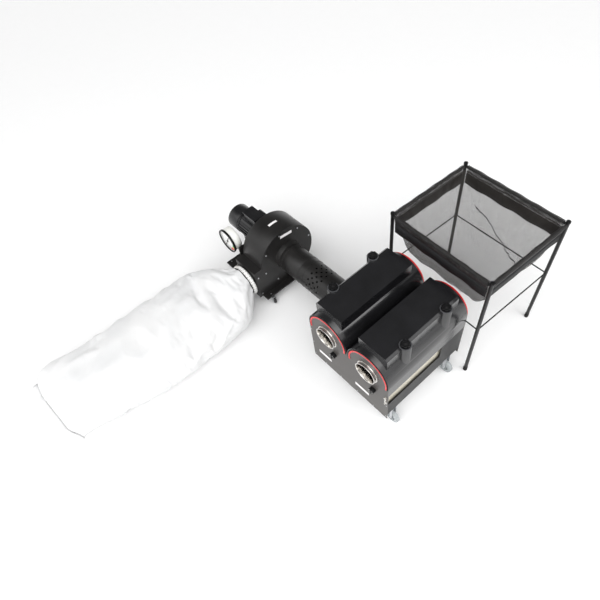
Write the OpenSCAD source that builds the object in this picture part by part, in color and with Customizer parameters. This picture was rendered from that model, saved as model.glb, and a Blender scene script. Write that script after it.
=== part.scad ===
// Twin-drum trimming machine on a low cart, with its vacuum leaf collector, filter bag and mesh bin.
// Millimetres, +Z up. The drum axes run along Y: leaves go in at -Y and leave over the bin at +Y.
// Sizes are worked in the trimmer's own frame (x = 0 between the drums, y = 0 at the front plate,
// z = 0 on the floor), and everything is then moved so that the origin is under the middle of the set.

/* [Cart] */
// Half the width of the trimmer over its side plates
cart_hw = 315; // [313:1:318]
// Length of the trimmer, front plate to rear plate
cart_len = 645; // [620:5:650]
// Height of the cart's underside above the floor
cart_z = 140; // [138:1:150]
// Height of the cart's right-hand rail above the deck
rail_h = 135; // [120:5:140]
// Thickness of the end plates
plate_t = 4; // [3:0.5:5]

/* [Drums] */
// Half the distance between the two drum axes
drum_x = 159; // [157:0.5:160]
// Height of the drum axes above the floor
drum_z = 514; // [510:1:520]
// Outer radius of a drum
drum_r = 120; // [115:1:122]
// Radius of the infeed collar's opening
infeed_r = 67; // [60:1:75]
// Mean radius of the red trim arcs
ring_r = 139; // [136:0.5:142]
// Radius of a cutting reel
reel_r = 30; // [24:1:32]

/* [Covers] */
// Outer radius of a cover's arch
cover_r = 156; // [155.5:0.5:156.5]
// Wall of a cover
cover_t = 3.7; // [3:0.1:3.7]
// Height of the flat raised panel above the floor
panel_z = 717; // [700:1:725]
// Distance from the middle to the panel's inner edge
panel_in = 65; // [60:1:70]
// Distance from the middle to the panel's outer edge
panel_out = 268; // [264:1:272]
// Radius of a cover knob
knob_r = 26; // [22:1:27]
// How far a cover knob stands above its boss
knob_h = 18; // [16:1:22]

/* [Duct] */
// Outer radius of the duct
duct_r = 104; // [100:1:105]
// Wall of the duct
duct_wall = 2; // [1.5:0.5:3]
// Where the duct's axis lies along the trimmer
duct_y = 349; // [330:1:360]
// Height of the duct's axis above the floor
duct_z = 312; // [308:1:316]
// Radius of a vent hole
vent_r = 7; // [5:0.5:8]

/* [Blower] */
// Radius of the scroll
scroll_r = 230; // [220:1:230]
// Width of the scroll along the fan's axis
scroll_w = 213; // [200:1:220]
// Distance from the middle of the trimmer to the scroll's inlet face
scroll_x = 975; // [950:5:1000]
// Radius of the motor
motor_r = 92; // [80:1:96]
// Length of the motor and its cowl
motor_len = 372; // [350:1:380]
// Radius of the dial gauge
gauge_r = 92; // [60:1:95]

/* [Filter bag] */
// How far the bag's closed end lies in front of the trimmer
bag_end = 1510; // [1400:10:1600]
// Height of the filled bag
bag_h = 300; // [240:5:310]

/* [Bin] */
// Half the width of the bin, leg to leg
bin_hw = 352; // [340:1:360]
// Half the depth of the bin, leg to leg
bin_hd = 306; // [290:1:306]
// Height of the bin's legs
bin_h = 890; // [860:5:920]
// Turn of the bin about the vertical
bin_turn = -3; // [-3:0.5:-1]
// Radius of a bin leg
leg_r = 11; // [9:0.5:12]
// Height of the bin's lower rods
rod_z = 462; // [440:2:480]

/* [Casters] */
// Radius of a cart wheel
cart_wheel_r = 50; // [45:1:52]
// Radius of a blower wheel
blower_wheel_r = 25; // [22:1:26]

/* [Hidden] */
$fn = 96;
bore_gap = 0.05;
body_gap = 0.3;
foot_r = leg_r + 2;
shell_r = cover_r - cover_t;
end_plate_r = shell_r - body_gap;
cover_foot_z = 425;
boss_r = knob_r + 9;
boss_rise = 8;
panel_bevel = 14;
boss_y = [165, 481];
panel_y = [33, 592];
deck_z = cart_z + 50;
pan_z = 206;
pan_hw = 300;
reel_z = drum_z - drum_r - 6 - reel_r;
reel_y = [24, 500];
shaft_r = 6;
infeed_out = 20;
speed_knob_pos = [46, 372];
latch_pos = [300, 395];
cart_casters = [[-265, 70], [265, 70], [-265, 560], [265, 560]];
blower_casters = [[-1420, 112], [-947, 127], [-1420, 520], [-947, 520]];
cart_fork = [35, 8, 15];
blower_fork = [22, 6, 10];
base_z = [72, duct_z - scroll_r];
base_x = [-1440, -925];
base_y = [78, 556];
scroll_back_x = -scroll_x - scroll_w;
motor_end_x = scroll_back_x - motor_len;
cowl_len = 105;
fan_shaft_r = 12;
outlet_y = 54;
outlet_z = [base_z[1], base_z[1] + 260];
outlet_mid = [-scroll_x - scroll_w / 2, (outlet_z[0] + outlet_z[1]) / 2];
outlet_r = 103;
neck_r = 118;
gauge_pos = [-1330, 385];
gauge_y = [92, 165];
bin_mid = [57, 976];
rail_r = 8;
rod_r = 4;
hem_z = [bin_h - 145, bin_h - 6];

// The whole set's box in the trimmer's frame, and the shift that puts the origin under its middle
bin_reach_x = bin_hw * cos(bin_turn) - bin_hd * sin(bin_turn) + foot_r;
bin_reach_y = bin_hd * cos(bin_turn) - bin_hw * sin(bin_turn) + foot_r;
mid_x = (motor_end_x + bin_mid[0] + bin_reach_x) / 2;
mid_y = (-bag_end + bin_mid[1] + bin_reach_y) / 2;

// ---- shared shapes ----

// Moves a part from the trimmer's frame to the set's origin
module place() translate([-mid_x, -mid_y, 0]) children();

// A box between two opposite corners
module block(lo, hi) translate(lo) cube(hi - lo);

// A round bar along X or along Y
module bar_x(x0, x1, r) translate([x0, 0, 0]) rotate([0, 90, 0]) cylinder(h = x1 - x0, r = r);
module bar_y(y0, y1, r) translate([0, y0, 0]) rotate([-90, 0, 0]) cylinder(h = y1 - y0, r = r);

// A tube along Y
module tube_y(y0, y1, r_out, r_in) difference() {
    bar_y(y0, y1, r_out);
    bar_y(y0 - 1, y1 + 1, r_in);
}

// An outline in X and Z swept along Y, and one in Y and Z swept along X
module sweep_y(y0, y1) translate([0, y1, 0]) rotate([90, 0, 0]) linear_extrude(y1 - y0) children();
module sweep_x(x0, x1) translate([x0, 0, 0]) rotate([90, 0, 90]) linear_extrude(x1 - x0) children();

// A closed skin over rings of points, with a flat face on the first and the last ring
module skin(rings) {
    n = len(rings[0]);
    last = len(rings) - 1;
    points = [for (ring = rings) for (p = ring) p];
    sides = [for (i = [0 : last - 1]) for (j = [0 : n - 1]) each [
        [i * n + j, i * n + (j + 1) % n, (i + 1) * n + j],
        [i * n + (j + 1) % n, (i + 1) * n + (j + 1) % n, (i + 1) * n + j]
    ]];
    caps = [[for (j = [n - 1 : -1 : 0]) j], [for (j = [0 : n - 1]) last * n + j]];
    polyhedron(points, concat(sides, caps), convexity = 6);
}

// A point on a rounded square outline: e = 2 is an ellipse, a larger e is squarer
function squircle(a, b, angle, e) = [
    a * sign(cos(angle)) * pow(abs(cos(angle)), 2 / e),
    b * sign(sin(angle)) * pow(abs(sin(angle)), 2 / e)
];

// ---- trimmer: plates, cart and pan ----

module end_plate(y0, hole_r) sweep_y(y0, y0 + plate_t) difference() {
    union() {
        translate([-cart_hw, cart_z]) square([2 * cart_hw, cover_foot_z - cart_z - 1]);
        translate([-drum_x - end_plate_r, cart_z])
            square([2 * (drum_x + end_plate_r), drum_z - cart_z]);
        for (s = [-1, 1]) translate([s * drum_x, drum_z]) circle(end_plate_r);
    }
    for (s = [-1, 1]) translate([s * drum_x, drum_z]) circle(hole_r);
}

module front_plate() color("dimgray") difference() {
    end_plate(0, infeed_r + 3);
    for (s = [-1, 1])
        translate([s * drum_x + speed_knob_pos[0], 0, speed_knob_pos[1]])
            bar_y(-1, plate_t + 1, 4 + bore_gap);
}

module rear_plate() color("dimgray") end_plate(cart_len - plate_t, drum_r + 2);

module cart_frame() color([0.08, 0.08, 0.09]) difference() {
    y0 = plate_t;
    y1 = cart_len - plate_t;
    union() {
        block([-cart_hw, y0, deck_z], [cart_hw, y1, deck_z + 12]);
        block([cart_hw - 3, y0, deck_z], [cart_hw, y1, deck_z + rail_h]);
        block([cart_hw - 3, 440, deck_z], [cart_hw, y1, cover_foot_z - 1]);
        block([-cart_hw, y0, deck_z], [-cart_hw + 3, y1, cover_foot_z - 1]);
        block([-12, y0, drum_z - 44], [12, y1, drum_z - 8]);
        for (y = [60, cart_len - 84]) block([-pan_hw, y, deck_z], [pan_hw, y + 24, pan_z]);
    }
    translate([0, duct_y, duct_z]) bar_x(-cart_hw - 1, -cart_hw + 4, duct_r + body_gap);
    for (c = cart_casters) translate([c[0], c[1], deck_z - 1])
        cylinder(h = 14, r = cart_fork[1] + bore_gap);
}

module collection_pan() color([0.8, 0.77, 0.68]) {
    t = 3;
    y0 = 20;
    y1 = cart_len - 22;
    difference() {
        union() {
            block([-pan_hw, y0, pan_z], [pan_hw, y1, drum_z - drum_r - 4]);
            for (s = [-1, 1]) translate([s * (pan_hw - t / 2), 0, 0])
                block([-t / 2, y0, pan_z], [t / 2, y1, cover_foot_z - 3]);
        }
        block([-pan_hw + t, y0 + t, pan_z + t], [pan_hw - t, y1 - t, drum_z]);
        translate([0, duct_y, duct_z]) bar_x(-pan_hw - 1, -pan_hw + t + 1, duct_r - 6);
    }
}

module drum_bearings() color("gainsboro")
    for (s = [-1, 1], y = [plate_t, cart_len - plate_t - 12]) translate([s * drum_x, 0, drum_z])
        tube_y(y, y + 12, drum_r + 12, drum_r + bore_gap);

module infeed_collars() color("silver")
    for (s = [-1, 1]) translate([s * drum_x, 0, drum_z]) {
        tube_y(-infeed_out, 84, infeed_r + 2.5, infeed_r);
        tube_y(-2, 0, infeed_r + 9, infeed_r + 1);
        tube_y(-infeed_out, -infeed_out + 4, infeed_r + 6, infeed_r + 2);
    }

// Red trim over the upper half of each drum's mouth, in front and behind
module trim_rings() color("crimson")
    for (s = [-1, 1], y = [-3, cart_len]) translate([s * drum_x, 0, drum_z]) difference() {
        tube_y(y, y + 3, ring_r + 5, ring_r - 5);
        block([-ring_r - 6, y - 1, -ring_r - 6], [ring_r + 6, y + 4, -24]);
    }

module name_plates() color("white") {
    for (s = [-1, 1]) translate([s * drum_x - 45, 0, 246])
        block([-55, -1, -13], [55, 0, 13]);
    translate([0, duct_y, duct_z]) rotate([-6, 0, 0])
        block([-scroll_x, -50, 172], [-scroll_x + 1, 50, 194]);
    translate([0, duct_y, duct_z]) difference() {
        intersection() {
            bar_x(-scroll_x - 118, -scroll_x - 100, scroll_r + 1.2);
            block([-scroll_x - 119, -35, 100], [-scroll_x - 99, 35, scroll_r + 2]);
        }
        bar_x(-scroll_x - 119, -scroll_x - 99, scroll_r);
    }
}

module latch_base() color("silver") translate([latch_pos[0], 0, latch_pos[1]]) {
    difference() {
        union() {
            block([-8, -1.5, -70], [8, 0, 8]);
            for (s = [-1, 1]) translate([s * 6.5, 0, 0]) block([-1.5, -10, -6], [1.5, -1, 6]);
        }
        translate([0, -6, 0]) bar_x(-9, 9, 2 + bore_gap);
    }
}

module latch_lever() color("silver") translate([latch_pos[0], -6, latch_pos[1]]) {
    bar_x(-8, 8, 2);
    block([-4, -1.5, -58], [4, 1.5, 0]);
    translate([0, -3, -56]) block([-4, -3, -6], [4, 4.5, 0]);
}

// ---- trimmer: drums, reels and motors ----

// A stainless drum: a tube with five rows of long slots and a rolled rear rim
module drum(s) color("silver") translate([s * drum_x, 0, drum_z]) {
    wall = 2.5;
    slot_rows = 5;
    slot_len = 96;
    difference() {
        bar_y(5, cart_len + 8, drum_r);
        bar_y(4, cart_len + 9, drum_r - wall);
        for (row = [0 : slot_rows - 1], i = [0 : 3])
            translate([0, 34 + row * 118, 0]) rotate([0, i * 45 + row * 22.5, 0])
                block([-drum_r - 1, 0, -4], [drum_r + 1, slot_len, 4]);
    }
}

// A cutting reel: a shaft with five straight blades and two end discs
module reel(s) color([0.75, 0.76, 0.78]) translate([s * drum_x, 0, reel_z]) {
    bar_y(reel_y[0], reel_y[1] + 30, shaft_r);
    for (y = [reel_y[0] + 14, (reel_y[0] + reel_y[1]) / 2, reel_y[1] - 18])
        bar_y(y, y + 4, reel_r - 6);
    for (i = [0 : 4]) rotate([0, i * 72 + 20, 0])
        block([shaft_r - 2, reel_y[0] + 16, -1.5], [reel_r, reel_y[1] - 16, 1.5]);
}

// Bed knives with the blocks that hold the reels' shafts
module bed_knives() color([0.62, 0.63, 0.65])
    for (s = [-1, 1]) translate([s * drum_x, 0, reel_z]) difference() {
        union() {
            block([reel_r + 1, reel_y[0] - 1, -3], [reel_r + 26, reel_y[1] - 6, 1]);
            for (y = [reel_y[0] - 1, reel_y[1] - 12])
                block([-18, y, -22], [reel_r + 26, y + 12, 16]);
            block([reel_r + 20, reel_y[0] - 1, pan_z + 3 - reel_z], [reel_r + 26, reel_y[1], 0]);
        }
        bar_y(reel_y[0] - 3, reel_y[1] + 2, shaft_r + bore_gap);
    }

module reel_motors() color([0.2, 0.2, 0.22])
    for (s = [-1, 1]) translate([s * drum_x, 0, reel_z]) difference() {
        union() {
            bar_y(reel_y[1] + 6, cart_len - 28, 32);
            block([-20, reel_y[1] + 16, pan_z + 3 - reel_z], [20, cart_len - 40, 0]);
        }
        bar_y(reel_y[1] + 5, reel_y[1] + 34, shaft_r + bore_gap);
    }

// ---- covers ----

// The right cover: an arch over the drum, a flat raised panel, and two bosses for its knobs
module cover_body() {
    difference() {
        union() {
            sweep_y(0, cart_len) intersection() {
                union() {
                    translate([drum_x, drum_z]) circle(cover_r);
                    translate([drum_x, cover_foot_z]) square([cover_r, drum_z - cover_foot_z]);
                }
                union() {
                    translate([0, drum_z]) square([cart_hw + 10, 300]);
                    translate([drum_x + 100, cover_foot_z]) square([cart_hw, 300]);
                }
            }
            sweep_y(panel_y[0], panel_y[1]) polygon([
                [panel_in, drum_z + 90], [panel_in, panel_z], [panel_out - panel_bevel, panel_z],
                [panel_out, panel_z - panel_bevel], [panel_out, drum_z + 90]
            ]);
            for (y = boss_y) translate([panel_out - 1, y, drum_z + 60])
                cylinder(h = panel_z + boss_rise - drum_z - 60, r = boss_r);
        }
        translate([drum_x, 0, drum_z]) bar_y(-1, cart_len + 1, shell_r);
        block([drum_x - 20, -1, cover_foot_z - 1], [drum_x + shell_r, cart_len + 1, drum_z]);
        block([panel_in + 4, panel_y[0] + 4, drum_z + 60],
              [panel_out - boss_r - 2, panel_y[1] - 4, panel_z - 4]);
        for (y = boss_y) translate([panel_out - 1, y, drum_z])
            cylinder(h = 300, r = 5 + bore_gap);
    }
}

module cover_right() color([0.13, 0.13, 0.14]) cover_body();
module cover_left() color([0.13, 0.13, 0.14]) mirror([1, 0, 0]) cover_body();

// A lobed hand knob standing on its own stud
module cover_knob(i) {
    s = i < 3 ? -1 : 1;
    y = boss_y[(i - 1) % 2];
    color([0.05, 0.05, 0.06]) translate([s * (panel_out - 1), y, panel_z + boss_rise + body_gap]) {
        translate([0, 0, -78]) cylinder(h = 80, r = 5);
        cylinder(h = 8, r = 15);
        translate([0, 0, 7]) linear_extrude(knob_h - 9) union() {
            circle(knob_r - 6);
            for (k = [0 : 6]) rotate(k * 360 / 7) translate([knob_r - 9, 0]) circle(9);
        }
        translate([0, 0, knob_h - 4]) cylinder(h = 4, r = knob_r - 12);
    }
}

module speed_knob(s) color([0.05, 0.05, 0.06])
    translate([s * drum_x + speed_knob_pos[0], 0, speed_knob_pos[1]]) {
        bar_y(-2, plate_t + 6, 4);
        bar_y(-24, -body_gap, 20);
        block([-3, -28, -20], [3, -23, 20]);
    }

// ---- duct and blower ----

module pipe_x(x0, x1, r_out, r_in) translate([0, duct_y, duct_z]) difference() {
    bar_x(x0, x1, r_out);
    bar_x(x0 - 1, x1 + 1, r_in);
}

module duct_tube() color([0.1, 0.1, 0.11]) {
    pipe_x(-scroll_x + 1, -752, duct_r, duct_r - duct_wall);
    translate([-783, duct_y, duct_z + duct_r - 1]) cylinder(h = 9, r = 6);
}

// The pipe next to the trimmer, drilled with staggered rows of vent holes
module vent_section() color([0.1, 0.1, 0.11]) difference() {
    pipe_x(-752, -pan_hw - 3, duct_r, duct_r - duct_wall);
    for (row = [0 : 4], k = [0 : 13])
        translate([-651 + row * 24, duct_y, duct_z])
            rotate([(k + (row % 2) / 2) * 360 / 14, 0, 0])
                translate([0, 0, duct_r - 8]) cylinder(h = 12, r = vent_r);
}

// The scroll's outline in Y and Z, drawn in by a wall's thickness
module scroll_outline(inset) {
    translate([duct_y, duct_z]) circle(scroll_r - inset);
    translate([outlet_y, outlet_z[0] + inset])
        square([duct_y - outlet_y, outlet_z[1] - outlet_z[0] - 2 * inset]);
}

module blower_housing() color([0.12, 0.12, 0.13]) {
    sweep_x(scroll_back_x + 3, -scroll_x - 3) difference() {
        scroll_outline(0);
        scroll_outline(3);
        translate([outlet_y - 1, outlet_z[0] + 3]) square([9, outlet_z[1] - outlet_z[0] - 6]);
    }
    sweep_x(scroll_back_x, scroll_back_x + 3) difference() {
        scroll_outline(0);
        translate([duct_y, duct_z]) circle(fan_shaft_r + 1);
    }
}

module inlet_plate() color([0.12, 0.12, 0.13]) {
    sweep_x(-scroll_x - 3, -scroll_x) difference() {
        scroll_outline(0);
        translate([duct_y, duct_z]) circle(duct_r - duct_wall);
    }
    pipe_x(-scroll_x, -scroll_x + 36, duct_r + 2.5, duct_r + body_gap);
}

module blower_bolts() color("silver") {
    for (k = [0 : 7]) translate([0, duct_y, duct_z]) rotate([k * 45 + 10, 0, 0])
        translate([0, 0, scroll_r - 22]) bar_x(-scroll_x, -scroll_x + 5, 6);
    for (z = [outlet_z[0] + 30, outlet_z[1] - 60])
        translate([0, outlet_y + 22, z]) bar_x(-scroll_x, -scroll_x + 5, 6);
}

// Fan wheel, its shaft and the motor's own cooling fan, all one turning piece
module impeller() color([0.45, 0.46, 0.48]) translate([0, duct_y, duct_z]) {
    x0 = scroll_back_x + 14;
    bar_x(motor_end_x + 22, x0 + 6, fan_shaft_r);
    bar_x(x0, x0 + 4, 185);
    bar_x(x0, x0 + 60, 28);
    for (k = [0 : 9]) rotate([k * 36, 0, 0])
        block([x0 + 3, -1.5, 26], [x0 + 120, 1.5, 184]);
    bar_x(motor_end_x + 22, motor_end_x + 30, 70);
}

module motor_body() color([0.07, 0.07, 0.08]) {
    x0 = motor_end_x + cowl_len;
    x1 = scroll_back_x;
    translate([0, duct_y, duct_z]) difference() {
        union() {
            bar_x(x0, x1, motor_r - 8);
            bar_x(x1 - 22, x1, motor_r);
            bar_x(x0, x0 + 14, motor_r - 1);
            for (k = [0 : 23]) rotate([k * 15, 0, 0])
                block([x0 + 10, -1.5, motor_r - 12], [x1 - 20, 1.5, motor_r - 1]);
        }
        bar_x(x0 - 1, x1 + 1, fan_shaft_r + bore_gap);
    }
    for (x = [x0 + 30, x1 - 70])
        block([x, duct_y - 70, base_z[1]], [x + 36, duct_y + 70, duct_z - motor_r + 28]);
}

module fan_cowl() color([0.07, 0.07, 0.08]) translate([0, duct_y, duct_z]) difference() {
    bar_x(motor_end_x, motor_end_x + cowl_len, motor_r + 2);
    bar_x(motor_end_x + 3, motor_end_x + cowl_len + 1, motor_r - body_gap);
    for (k = [0 : 5]) rotate([k * 30, 0, 0]) difference() {
        block([motor_end_x - 1, -4, -motor_r + 14], [motor_end_x + 4, 4, motor_r - 14]);
        block([motor_end_x - 2, -6, -22], [motor_end_x + 5, 6, 22]);
    }
}

module terminal_box() color([0.07, 0.07, 0.08]) {
    z0 = duct_z + motor_r - 1;
    block([-1394, duct_y - 38, z0], [-1262, duct_y + 42, z0 + 62]);
    block([-1400, duct_y - 44, z0 + 62], [-1256, duct_y + 48, z0 + 70]);
    translate([-1350, duct_y + 94, z0 - 26]) bar_x(-50, 60, 22);
    block([-1350, duct_y + 40, z0 - 5], [-1330, duct_y + 96, z0 + 5]);
}

module blower_base() color([0.07, 0.07, 0.08]) difference() {
    union() {
        block([base_x[0], base_y[0], base_z[0]], [base_x[1], base_y[1], base_z[1]]);
        block([gauge_pos[0] - 14, gauge_y[1], base_z[0]],
              [gauge_pos[0] + 14, gauge_y[1] + 6, gauge_pos[1] + 20]);
        block([scroll_back_x - 26, base_y[0] + 30, base_z[0]],
              [scroll_back_x - 20, duct_y - motor_r - 4, duct_z + 80]);
    }
    for (c = blower_casters) translate([c[0], c[1], base_z[0] - 1])
        cylinder(h = 14, r = blower_fork[1] + bore_gap);
}

module gauge_body() translate([gauge_pos[0], 0, gauge_pos[1]]) {
    color("white") difference() {
        bar_y(gauge_y[0] + 6, gauge_y[1], gauge_r - 6);
        bar_y(gauge_y[0], gauge_y[0] + 10, 2 + bore_gap);
    }
    color([0.06, 0.06, 0.07]) tube_y(gauge_y[0] - 2, gauge_y[0] + 14, gauge_r, gauge_r - 6);
}

module gauge_needle() color("black") translate([gauge_pos[0], 0, gauge_pos[1]]) {
    bar_y(gauge_y[0] + 1.5, gauge_y[0] + 9, 2);
    bar_y(gauge_y[0] + 1.5, gauge_y[0] + 4, 7);
    rotate([0, 32, 0]) block([-2, gauge_y[0] + 2, -66], [2, gauge_y[0] + 3.5, 66]);
}

module outlet_collar() color([0.1, 0.1, 0.11]) translate([outlet_mid[0], 0, outlet_mid[1]]) {
    difference() {
        block([-scroll_w / 2, outlet_y - 3, -130], [scroll_w / 2, outlet_y, 130]);
        bar_y(outlet_y - 5, outlet_y + 1, outlet_r - 3);
    }
    tube_y(8, outlet_y - 3, outlet_r, outlet_r - 3);
}

// ---- filter bag ----

// Stations along the bag: how far in front, middle x, half width, lowest and highest z
bag_stations = [
    [-6, outlet_mid[0], neck_r, outlet_mid[1] - neck_r, outlet_mid[1] + neck_r],
    [60, -1086, 190, 62, bag_h + 30],
    [150, -1112, 268, 8, bag_h + 24],
    [260, -1134, 316, 0, bag_h + 12],
    [500, -1140, 340, 0, bag_h],
    [760, -1142, 345, 0, bag_h - 8],
    [1020, -1166, 332, 0, bag_h - 24],
    [1250, -1192, 326, 0, bag_h - 60],
    [1390, -1210, 318, 0, bag_h - 130],
    [bag_end - 40, -1220, 300, 0, 100],
    [bag_end, -1226, 280, 2, 34]
];

module filter_bag() color("white") {
    sides = 28;
    skin([for (p = bag_stations) [for (j = [0 : sides - 1])
        let (q = squircle(p[2], (p[4] - p[3]) / 2, -j * 360 / sides, 2.3))
        [p[1] + q[0], -p[0], (p[3] + p[4]) / 2 + q[1]]
    ]]);
}

module neck_strap() color([0.86, 0.86, 0.84])
    translate([outlet_mid[0], 0, outlet_mid[1]]) {
        tube_y(14, 40, outlet_r + 12, outlet_r + 9);
        rotate([0, 40, 0]) block([-16, 12, outlet_r + 10], [16, 42, outlet_r + 18]);
    }

// ---- mesh bin ----

module in_bin() translate([bin_mid[0], bin_mid[1], 0]) rotate(bin_turn) children();

module bin_legs() color([0.1, 0.1, 0.11]) in_bin()
    for (sx = [-1, 1], sy = [-1, 1]) translate([sx * bin_hw, sy * bin_hd, 10]) {
        cylinder(h = bin_h - 10, r = leg_r);
        translate([0, 0, bin_h - 22]) cylinder(h = 14, r = foot_r);
    }

module bin_feet() color([0.05, 0.05, 0.05]) in_bin()
    for (sx = [-1, 1], sy = [-1, 1]) translate([sx * bin_hw, sy * bin_hd, 0]) difference() {
        cylinder(h = 34, r = foot_r);
        translate([0, 0, 10]) cylinder(h = 30, r = leg_r + 0.1);
    }

// Top rails inside the hem, and thin rods half way down
module bin_rods() color([0.1, 0.1, 0.11]) in_bin()
    for (z_r = [[bin_h - 22, rail_r], [rod_z, rod_r]]) translate([0, 0, z_r[0]]) {
        for (sy = [-1, 1]) translate([0, sy * bin_hd, 0])
            bar_x(-bin_hw + leg_r, bin_hw - leg_r, z_r[1]);
        for (sx = [-1, 1]) translate([sx * bin_hw, 0, 0])
            bar_y(-bin_hd + leg_r, bin_hd - leg_r, z_r[1]);
    }

// A fabric sleeve along each top rail
module bin_hem() color([0.08, 0.08, 0.09]) in_bin() {
    x1 = bin_hw - foot_r - 3;
    y1 = bin_hd - foot_r - 3;
    rail_z = bin_h - 22;
    for (sy = [-1, 1]) translate([0, sy * bin_hd, 0]) difference() {
        block([-x1, -11, hem_z[0]], [x1, 11, hem_z[1]]);
        translate([0, 0, rail_z]) bar_x(-x1 - 1, x1 + 1, rail_r + body_gap);
    }
    for (sx = [-1, 1]) translate([sx * bin_hw, 0, 0]) difference() {
        block([-11, -y1, hem_z[0]], [11, y1, hem_z[1]]);
        translate([0, 0, rail_z]) bar_y(-y1 - 1, y1 + 1, rail_r + body_gap);
    }
}

// Depths of the sagging mesh bag: height, how far it draws in, and how square it is
sack_levels = [
    [bin_h - 30, 13, 14], [bin_h - 120, 17, 11], [bin_h - 220, 24, 9], [bin_h - 300, 36, 7],
    [bin_h - 345, 60, 5.5], [bin_h - 372, 110, 4.5], [bin_h - 385, 180, 3.5], [bin_h - 392, 260, 3]
];

// The mesh bag: its outer skin goes down, and its inner skin comes back up
module mesh_bag() color([0.18, 0.18, 0.19]) in_bin() {
    sides = 40;
    wall = 4;
    last = len(sack_levels) - 1;
    outer = [for (q = sack_levels) [q[0], q[1], q[2]]];
    inner = [for (i = [last : -1 : 0])
        [sack_levels[i][0] + (i == 0 ? 0 : wall), sack_levels[i][1] + wall, sack_levels[i][2]]];
    rings = [for (q = concat(outer, inner)) [for (j = [0 : sides - 1])
        let (p = squircle(bin_hw - q[1], bin_hd - q[1], j * 360 / sides, q[2]))
        [p[0], p[1], q[0]]
    ]];
    difference() {
        skin([for (i = [0 : last]) rings[i]]);
        skin([for (i = [2 * last + 1 : -1 : last + 1])
            [for (p = rings[i]) [p[0], p[1], i == 2 * last + 1 ? p[2] + 1 : p[2]]]]);
    }
}

// ---- casters ----

// Swivel fork: a stem in the plate above, a head, two cheeks and the wheel's axle
module fork(at, plate_z, wheel_r, f) color("silver")
    translate([at[0], at[1], 0]) {
        trail = f[0];
        stem_r = f[1];
        half = f[2] + 3;
        head_z = plate_z - body_gap;
        translate([0, 0, head_z - 1]) cylinder(h = 11, r = stem_r);
        translate([0, 0, head_z - 8]) cylinder(h = 8, r = stem_r * 2.6);
        block([-stem_r * 1.4, -half, head_z - 12], [trail + 8, half, head_z - 6]);
        for (s = [-1, 1]) translate([0, s * (half - 1.2), 0])
            block([trail - 9, -1.2, wheel_r - 8], [trail + 9, 1.2, head_z - 8]);
        translate([trail, 0, wheel_r]) bar_y(-half - 3, half + 3, 4);
    }

// A wheel with a hub and a rounded tread
module wheel(at, wheel_r, f) color([0.75, 0.76, 0.77])
    translate([at[0] + f[0], at[1], wheel_r]) rotate([90, 0, 0]) rotate_extrude() {
        translate([wheel_r * 0.55, -f[2] + 1]) square([wheel_r * 0.45 - 4, 2 * f[2] - 2]);
        translate([wheel_r - 5, -f[2] + 4]) square([5, 2 * f[2] - 8]);
        translate([4 + bore_gap, -3]) square([wheel_r * 0.5, 6]);
        translate([4 + bore_gap, -f[2] + 0.5]) square([6, 2 * f[2] - 1]);
    }

module cart_fork_n(i) fork(cart_casters[i - 1], deck_z, cart_wheel_r, cart_fork);
module cart_wheel_n(i) wheel(cart_casters[i - 1], cart_wheel_r, cart_fork);
module blower_fork_n(i) fork(blower_casters[i - 1], base_z[0], blower_wheel_r, blower_fork);
module blower_wheel_n(i) wheel(blower_casters[i - 1], blower_wheel_r, blower_fork);

place() front_plate();
place() rear_plate();
place() cart_frame();
place() collection_pan();
place() drum_bearings();
place() infeed_collars();
place() trim_rings();
place() bed_knives();
place() reel_motors();
place() name_plates();
place() latch_base();
place() duct_tube();
place() vent_section();
place() blower_housing();
place() inlet_plate();
place() blower_bolts();
place() motor_body();
place() fan_cowl();
place() terminal_box();
place() blower_base();
place() gauge_body();
place() outlet_collar();
place() filter_bag();
place() neck_strap();
place() bin_legs();
place() bin_rods();
place() bin_feet();
place() mesh_bag();
place() bin_hem();
place() drum(-1);  // drum_left
place() drum(1);  // drum_right
place() reel(-1);  // reel_left
place() reel(1);  // reel_right
place() cover_left();
place() cover_right();
place() cover_knob(1);  // cover_knob_1
place() cover_knob(2);  // cover_knob_2
place() cover_knob(3);  // cover_knob_3
place() cover_knob(4);  // cover_knob_4
place() latch_lever();
place() speed_knob(-1);  // speed_knob_left
place() speed_knob(1);  // speed_knob_right
place() impeller();
place() gauge_needle();
place() cart_fork_n(1);  // cart_fork_1
place() cart_fork_n(2);  // cart_fork_2
place() cart_fork_n(3);  // cart_fork_3
place() cart_fork_n(4);  // cart_fork_4
place() cart_wheel_n(1);  // cart_wheel_1
place() cart_wheel_n(2);  // cart_wheel_2
place() cart_wheel_n(3);  // cart_wheel_3
place() cart_wheel_n(4);  // cart_wheel_4
place() blower_fork_n(1);  // blower_fork_1
place() blower_fork_n(2);  // blower_fork_2
place() blower_fork_n(3);  // blower_fork_3
place() blower_fork_n(4);  // blower_fork_4
place() blower_wheel_n(1);  // blower_wheel_1
place() blower_wheel_n(2);  // blower_wheel_2
place() blower_wheel_n(3);  // blower_wheel_3
place() blower_wheel_n(4);  // blower_wheel_4
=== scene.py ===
# %% [markdown]
# # A trimming machine, its vacuum collector and its mesh bin
# The machine has two slotted drums under moulded covers. A duct leads cut leaf to a blower, which
# fills a white filter bag, and the trimmed crop drops into a mesh bin. The CAD model already holds
# the hard parts in metres, so we load it as a fixed frame and build the soft parts and the finishes
# around it. Every place we need is read from the frame's own boxes.

# %% Load the frame
import math
import bpy
from mathutils import Matrix, Vector, noise


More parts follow.
